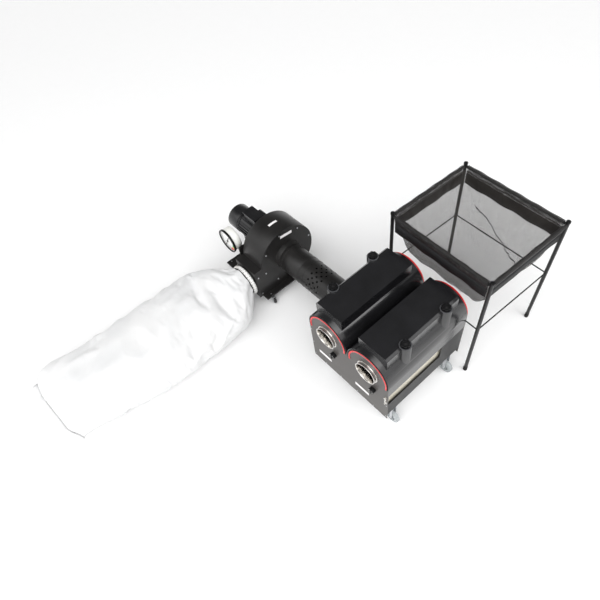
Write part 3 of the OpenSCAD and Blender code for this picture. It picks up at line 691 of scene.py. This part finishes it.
# %% An even outline
def bin_outline(draw_in, corner, count):
    """Points spread evenly round a rounded rectangle that is drawn in from the bin's sides."""
    a, b = bin_half_width - draw_in, bin_half_depth - draw_in
    path = [(x - a, y - b) for x, y in rounded(2 * a, 2 * b, min(corner, b * 0.9), 10)]
    path.append(path[0])
    lengths = [0.0]
    for p, q in zip(path, path[1:]):
        lengths.append(lengths[-1] + math.dist(p, q))
    points, step = [], 0
    for k in range(count):
        goal = lengths[-1] * k / count
        while lengths[step + 1] < goal:
            step += 1
        t = (goal - lengths[step]) / (lengths[step + 1] - lengths[step])
        points.append([u + (v - u) * t for u, v in zip(path[step], path[step + 1])])
    return points, lengths[-1]


print("outline ready")

# %% [markdown]
# The sack's wall goes straight down and then turns in to a shallow floor. We sample that profile
# finely, measure its length, and take rings at equal steps along it. Two soft noises make the wall
# ripple and the floor sag unevenly, and a small wave makes the pleats.

# %% Mesh sack: its rings
MESH_AROUND = 200
MESH_DOWN = 60
# depth below the hem, then how far the wall draws in and the radius of its corners
SACK_LEVELS = [
    (0.0, (0.013, 0.030)), (0.09, (0.018, 0.045)), (0.19, (0.027, 0.065)), (0.27, (0.040, 0.090)),
    (0.315, (0.063, 0.110)), (0.342, (0.112, 0.120)), (0.355, (0.180, 0.100)), (0.361, (0.250, 0.050)),
]
sack_top = sack_high.z
SACK_DEPTH = SACK_LEVELS[-1][0]
FINE_STEPS = 400
fine = [SACK_DEPTH * (1 - (1 - k / FINE_STEPS) ** 2) for k in range(FINE_STEPS + 1)]
walls = [between(SACK_LEVELS, depth) for depth in fine]
runs = [0.0]
for k in range(FINE_STEPS):
    runs.append(runs[-1] + math.hypot(fine[k + 1] - fine[k], walls[k + 1][0] - walls[k][0]))
sack_rings, mesh_cut = [], []
for row in range(MESH_DOWN + 1):
    goal = runs[-1] * row / MESH_DOWN
    k = min(range(FINE_STEPS + 1), key=lambda i: abs(runs[i] - goal))
    depth, (draw_in, corner) = fine[k], walls[k]
    outline, girth = bin_outline(draw_in, corner, MESH_AROUND)
    ring = []
    for j, (x, y) in enumerate(outline):
        pleats = math.sin(j * 0.55 + 3 * math.sin(j * 0.09)) * 0.003
        ripple = noise.noise(Vector((x * 9, y * 9, depth * 3))) * 0.010 + pleats
        pull = 1 - ripple * smooth_step(depth / 0.12) / 0.3
        hang = noise.noise(Vector((x * 5, y * 5, 4.2))) * 0.012 * smooth_step((depth - 0.2) / 0.15)
        ring.append(in_bin(x * pull, y * pull, sack_top - depth + hang))
        mesh_cut.append(((j / MESH_AROUND - 0.5) * girth, goal))
    sack_rings.append(ring)
print("sack of", len(sack_rings), "rings,", round(runs[-1], 3), "m down its profile")

# %% Mesh sack: close the floor and let it settle
centre = in_bin(0, 0, sack_top - SACK_DEPTH)
for k in range(1, 6):
    sack_rings.append([p.lerp(centre, k / 6) for p in sack_rings[MESH_DOWN]])
    mesh_cut += [(u * (1 - k / 6), v + 0.01 * k) for u, v in mesh_cut[-MESH_AROUND:]]
mesh_points, mesh_faces = loft(sack_rings, cap_last=True)
bin_mesh = new_piece("bin_mesh", mesh_points, mesh_faces, "frame", open_mesh)
store_cut(bin_mesh, mesh_cut)
mesh_held = {j: 1.0 for j in range(MESH_AROUND * 2)}
settle(bin_mesh, mesh_held, frames=24, growth=0.02, gravity=0.2, bend=0.08, cap=0.025)
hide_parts("mesh_bag")

# %% [markdown]
# Each top rail runs in a sleeve of the same mesh, doubled, with slight dents where it is pulled
# between the stitches. Below it hangs a black woven band that carries the sack. Both are swept along
# the rail, with their outline drawn across it: the first number is how far out, the second the height.

# %% Hem: mesh sleeves and black bands
hem_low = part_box("bin_hem")[0]
rail_height = bin_top - 0.022
HEM_R = 0.0125
BAND_TOP = rail_height - 0.042
sleeve_parts, band_parts, sleeve_cut = [], [], []
for side in range(4):
    along_x = side % 2 == 0
    sign = 1 if side < 2 else -1
    run = (bin_half_width if along_x else bin_half_depth) - 0.020
    off = (bin_half_depth if along_x else bin_half_width) * sign
    sleeve, band = [], []
    for k in range(61):
        t = (k / 60 * 2 - 1) * run
        pull = 1 + 0.09 * math.sin(t * 46) + 0.07 * noise.noise(Vector((t * 14, side * 3.7, 0)))
        skirt = hem_low.z + 0.004 + 0.004 * math.sin(t * 33 + side)
        bulge = 0.003 * noise.noise(Vector((t * 9, side * 5.1, 2)))
        tube = HEM_R * pull
        round_rail = [(math.cos(math.radians(a)) * tube, rail_height + math.sin(math.radians(a)) * tube)
                      for a in range(-60, 241, 20)]
        sleeve_outline = round_rail + [(-0.0045, BAND_TOP - 0.004), (0.0005, BAND_TOP - 0.004)]
        band_outline = [(-0.006 - bulge, skirt), (-0.0035 - bulge, skirt),
                        (-0.0025, BAND_TOP), (-0.0055, BAND_TOP)]
        for outline, rings in ((sleeve_outline, sleeve), (band_outline, band)):
            ring = []
            for u, z in outline:
                inward = off + u * sign
                ring.append(in_bin(t, inward, z) if along_x else in_bin(inward, t, z))
            rings.append(ring)
        sleeve_cut += [(t, 0.006 * m) for m in range(len(sleeve_outline))]
    sleeve_parts.append(loft(sleeve))
    band_parts.append(loft(band, cap_first=True, cap_last=True))


hem = gather("bin_hem_tape", band_parts, "frame", tape_black)
sleeve = gather("bin_hem_sleeve", sleeve_parts, "frame", sleeve_mesh)
store_cut(sleeve, sleeve_cut)
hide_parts("bin_hem")
print("hem", len(hem.data.vertices) + len(sleeve.data.vertices), "points")

# %% [markdown]
# A dark piping closes the sack. It droops across the far wall, from one corner down towards the next,
# so we read its route off the settled mesh and sweep a thin cord along it, just inside the cloth.

# %% Piping on the sack
PIPING_R = 0.0035
corner_start, corner_end = int(MESH_AROUND * 0.47), int(MESH_AROUND * 0.26)
cords = []
for j in range(corner_end, corner_start + 1):
    t = (corner_start - j) / (corner_start - corner_end)
    row = round(22 + 18 * smooth_step(t * 1.4))
    spot = bin_mesh.data.vertices[row * MESH_AROUND + j].co
    inward = (bin_middle + Vector((0, 0, spot.z)) - spot).normalized() * 0.004
    cords.append([spot + inward + Vector((0, PIPING_R * math.cos(a) * 0.6, PIPING_R * math.sin(a)))
                  for a in (math.tau * m / 8 for m in range(8))])
points, faces = loft(cords, cap_first=True, cap_last=True)
piping = new_piece("bin_mesh_piping", points, faces, "frame", tape_black)
print("piping", len(cords), "steps long")

# %% [markdown]
# ## Small fittings
# The frame holds every fitting that carries load. What follows is the trim that catches the eye:
# rolled rims, seals, knob caps and the dial, with a row of painted shade dots under the covers. Each is
# turned or swept from a short profile.


# %% Round parts
def bead(centre, axis, radius, thick, steps=96, sides=10, turn=(0, 360)):
    """A round wire of that thickness bent to a ring."""
    angles = [math.tau * k / sides for k in range(sides)]
    profile = [(thick / 2 * math.sin(a), radius + thick / 2 * math.cos(a)) for a in angles]
    return lathe(profile, centre, axis, turn=turn, steps=steps, loop=True)


def dome(centre, axis, radius, height, steps=20):
    """A low round head standing on a surface, such as a rivet or a cap."""
    profile = [(height * math.sin(a), max(radius * math.cos(a), 0.00005))
               for a in (math.radians(d) for d in (0, 25, 50, 72, 90))]
    return lathe(profile, centre, axis, steps=steps)


SIDES = ("left", "right")
PLATE_Y = plate_low.y

# %% [markdown]
# Each drum mouth has a dull black seal between its red trim and the cover, and each drum ends behind
# in a flared chrome rim, which turns with the drum. A red lip stands out behind each cover too.

# %% Mouth seals and drum rims
trim_low, trim_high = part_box("trim_rings")
trim_radius = (trim_high.x - trim_low.x) / 2 - (drum_centre["right"].x - drum_centre["left"].x) / 2
cover_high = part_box("cover_right")[1]
shell_radius = cover_high.x - drum_centre["right"].x - 0.0037
seal_parts = []
for side in SIDES:
    hub = Vector((drum_centre[side].x, PLATE_Y - 0.0022, drum_centre[side].z))
    outline = [(u, trim_radius + 0.0004 + v) for u, v in
               rounded(0.0022, shell_radius - trim_radius - 0.0009, 0.0008)]
    seal_parts.append(lathe(outline, hub, (0, 1, 0), turn=(-97, 97), steps=90, loop=True))
gather("mouth_seals", seal_parts, "frame", rubber)
for side in SIDES:
    end = Vector((drum_centre[side].x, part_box(f"drum_{side}")[1].y - 0.0008, drum_centre[side].z))
    flare = [(0.0, drum_radius - 0.002), (0.007, drum_radius + 0.004), (0.015, drum_radius + 0.013),
             (0.0162, drum_radius + 0.0125), (0.008, drum_radius + 0.002), (0.001, drum_radius - 0.004)]
    rim = lathe(flare, end, (0, 1, 0), loop=True)
    gather(f"drum_rim_{side}", [rim], f"drum_{side}", polished)
    lip = [(u, trim_radius + v) for u, v in rounded(0.0145, 0.004, 0.0015)]
    arc = lathe(lip, Vector((end.x, cover_high.y + 0.0005, end.z)), (0, 1, 0), turn=(-100, 100), loop=True)
    gather(f"rear_trim_lip_{side}", [arc], "frame", red_trim)
print("trim radius", round(trim_radius, 4), "shell radius", round(shell_radius, 4))

# %% [markdown]
# The cover knobs have a shallow cap over the stud, with a ring round it that picks out a highlight,
# and the boss under each knob has a rim in a lighter grey, a painted highlight on the black boss. The
# rim rides on the cover, while the cap turns with its knob.

# %% Knob caps and boss rims
for i in CASTER_IDS:
    low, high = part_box(f"cover_knob_{i}")
    top = Vector(((low.x + high.x) / 2, (low.y + high.y) / 2, high.z))
    parts = [dome(top, (0, 0, 1), 0.008, 0.0022), bead(top, (0, 0, 1), 0.0125, 0.0022, steps=40, sides=8)]
    gather(f"cover_knob_cap_{i}", parts, f"cover_knob_{i}", knob_black)
    side = "left" if i < 3 else "right"
    rim_at = Vector((top.x, top.y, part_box(f"cover_{side}")[1].z))
    # a lighter grey rim round each boss: a painted highlight
    rim = [(u - 0.0006, 0.0275 + v) for u, v in rounded(0.0016, 0.0068, 0.0007)]
    gather(f"cover_boss_rim_{i}", [lathe(rim, rim_at, (0, 0, 1), steps=48, loop=True)], f"cover_{side}",
           boss_painted_highlight)
for side in SIDES:
    low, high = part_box(f"speed_knob_{side}")
    face = Vector(((low.x + high.x) / 2, low.y + 0.0045, (low.z + high.z) / 2))
    parts = [bead(face, (0, -1, 0), 0.0165, 0.0016, steps=48, sides=8)]
    gather(f"speed_knob_ring_{side}", parts, f"speed_knob_{side}", polished)
print("capped", len(CASTER_IDS), "cover knobs")

# %% [markdown]
# The duct is rolled sheet: a raised bead marks each joint.

# %% Duct beads
vent_low, vent_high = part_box("vent_section")
tube_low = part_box("duct_tube")[0]
duct_radius = (vent_high.y - vent_low.y) / 2
duct_y = (vent_low.y + vent_high.y) / 2
duct_z = (vent_low.z + vent_high.z) / 2
bead_places = [vent_low.x, vent_low.x + 0.05, vent_high.x - 0.05, tube_low.x + 0.06]
duct_beads = [bead(Vector((x, duct_y, duct_z)), (1, 0, 0), duct_radius, 0.0035) for x in bead_places]
gather("duct_beads", duct_beads, "frame", powder_black)
print("duct radius", round(duct_radius, 4), "with", len(bead_places), "beads")

# %% [markdown]
# Rows of small fixings hold the plates: dome screws down both edges of the front plate and across its
# foot. A line of small black domes along the pan just under each cover is painted shade for the dark
# gap below the cover's edge.

# %% Screws, and painted shade dots under the covers
screw_parts = []
plate_half = (plate_high.x - plate_low.x) / 2
for z in (0.165, 0.30, 0.44):
    for sign in (-1, 1):
        if z != 0.44 or sign < 0:
            place = at(sign * (plate_half * 1000 - 9), 0, z * 1000)
            screw_parts.append(dome(place, (0, -1, 0), 0.0042, 0.002))
for x in (-205, -70, 70, 205):
    screw_parts.append(dome(at(x, 0, 152), (0, -1, 0), 0.0042, 0.002))
gather("plate_screws", screw_parts, "frame", zinc)
pan_low, pan_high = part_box("collection_pan")
# a row of black rubber domes just under each cover's edge: painted shade for the dark gap between cover and
# pan
gap_shade_dots = []
SHADE_DOT_SPACING = 0.0125
shade_dot_count = int((pan_high.y - pan_low.y - 0.03) / SHADE_DOT_SPACING)
for sign, x in ((1, pan_high.x), (-1, pan_low.x)):
    for k in range(shade_dot_count):
        place = Vector((x, pan_low.y + 0.018 + k * SHADE_DOT_SPACING, pan_high.z - 0.006))
        gap_shade_dots.append(dome(place, (sign, 0, 0), 0.0026, 0.0012, steps=10))
gather("pan_gap_shade_dots", gap_shade_dots, "frame", rubber)
print(len(screw_parts), "screws and", len(gap_shade_dots), "rivets")

# %% [markdown]
# ## Dial gauge
# The gauge faces the front: a cream drum, a black bezel and a white dial with ticks and three
# coloured zones low on its scale. The CAD solid is one plain drum, so a case, a bezel and a dial of
# our own replace it, with the ticks and zones on the dial. The needle stays in the frame, because it turns.

# %% Dial gauge
gauge_low, gauge_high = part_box("gauge_body")
gauge_r = (gauge_high.x - gauge_low.x) / 2
gauge_hub = Vector(((gauge_low.x + gauge_high.x) / 2, gauge_low.y, (gauge_low.z + gauge_high.z) / 2))
dial_white = finish("dial_white", (0.84, 0.84, 0.82), (0.90, 0.90, 0.88), (0.3, 0.38), 300, 0.000005)
zone_green = finish("zone_green", (0.03, 0.32, 0.08), (0.05, 0.42, 0.12), (0.4, 0.5), 300, 0.000005)
zone_yellow = finish("zone_yellow", (0.75, 0.55, 0.03), (0.85, 0.64, 0.05), (0.4, 0.5), 300, 0.000005)
depth = gauge_high.y - gauge_low.y
back = depth - 0.0002
case_profile = [(0.009, gauge_r - 0.0075), (0.009, gauge_r - 0.0062), (depth - 0.012, gauge_r - 0.0062),
                (depth - 0.003, gauge_r - 0.010), (back, gauge_r - 0.018), (back, 0.0005)]
case_points, case_faces = lathe(case_profile, gauge_hub, (0, 1, 0), steps=72)
gauge_case = new_piece("gauge_case", case_points, case_faces, "frame", gauge_white)
bezel_profile = [(u, gauge_r - 0.0068 + v) for u, v in rounded(0.016, 0.0068, 0.0022)]
points, faces = lathe(bezel_profile, gauge_hub, (0, 1, 0), steps=72, loop=True)
new_piece("gauge_bezel", points, faces, "frame", knob_black)
dial_profile = [(0.0082, 0.0026), (0.0078, 0.0030), (0.0078, gauge_r - 0.0072), (0.0088, gauge_r - 0.0070)]
points, faces = lathe(dial_profile, gauge_hub, (0, 1, 0), steps=72)
new_piece("gauge_dial", points, faces, "frame", dial_white)
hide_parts("gauge_body")


def dial_mark(start, end, inner, outer, steps=1):
    """A thin raised patch on the dial between two angles, in degrees from the top, and two radii."""
    outline = [(0.0073, inner), (0.0073, outer), (0.0078, outer), (0.0078, inner)]
    return lathe(outline, gauge_hub, (0, 1, 0), turn=(start, end), steps=steps, loop=True)


TICKS = 27
ticks = []
for k in range(TICKS):
    angle = -130 + 260 * k / (TICKS - 1)
    long_tick = k % 5 == 0
    ticks.append(dial_mark(angle - 0.7, angle + 0.7, 0.058 if long_tick else 0.063, 0.070))
gather("gauge_ticks", ticks, "frame", knob_black, smooth=False)
for name, start, end, paint in (("green", 92, 112, zone_green), ("yellow", 112, 121, zone_yellow),
                                ("red", 121, 152, red_trim)):
    gather(f"gauge_zone_{name}", [dial_mark(start, end, 0.056, 0.077, steps=12)], "frame", paint,
           smooth=False)
print("gauge radius", round(gauge_r, 3), "with", TICKS, "ticks")

# %% [markdown]
# ## Floor
# The floor is one large pale sheet.

# %% Floor
floor_material = finish("pale_floor", (0.95, 0.95, 0.95), (0.96, 0.96, 0.96), (0.6, 0.7), 40, 0.00001)
floor_points = [(x, y, -0.0005) for x, y in ((-30, -30), (30, -30), (30, 30), (-30, 30))]
floor_mesh = bpy.data.meshes.new("floor")
floor_mesh.from_pydata(floor_points, [], [(0, 1, 2, 3)])
floor_mesh.materials.append(floor_material)
floor = bpy.data.objects.new("floor", floor_mesh)
scene.collection.objects.link(floor)
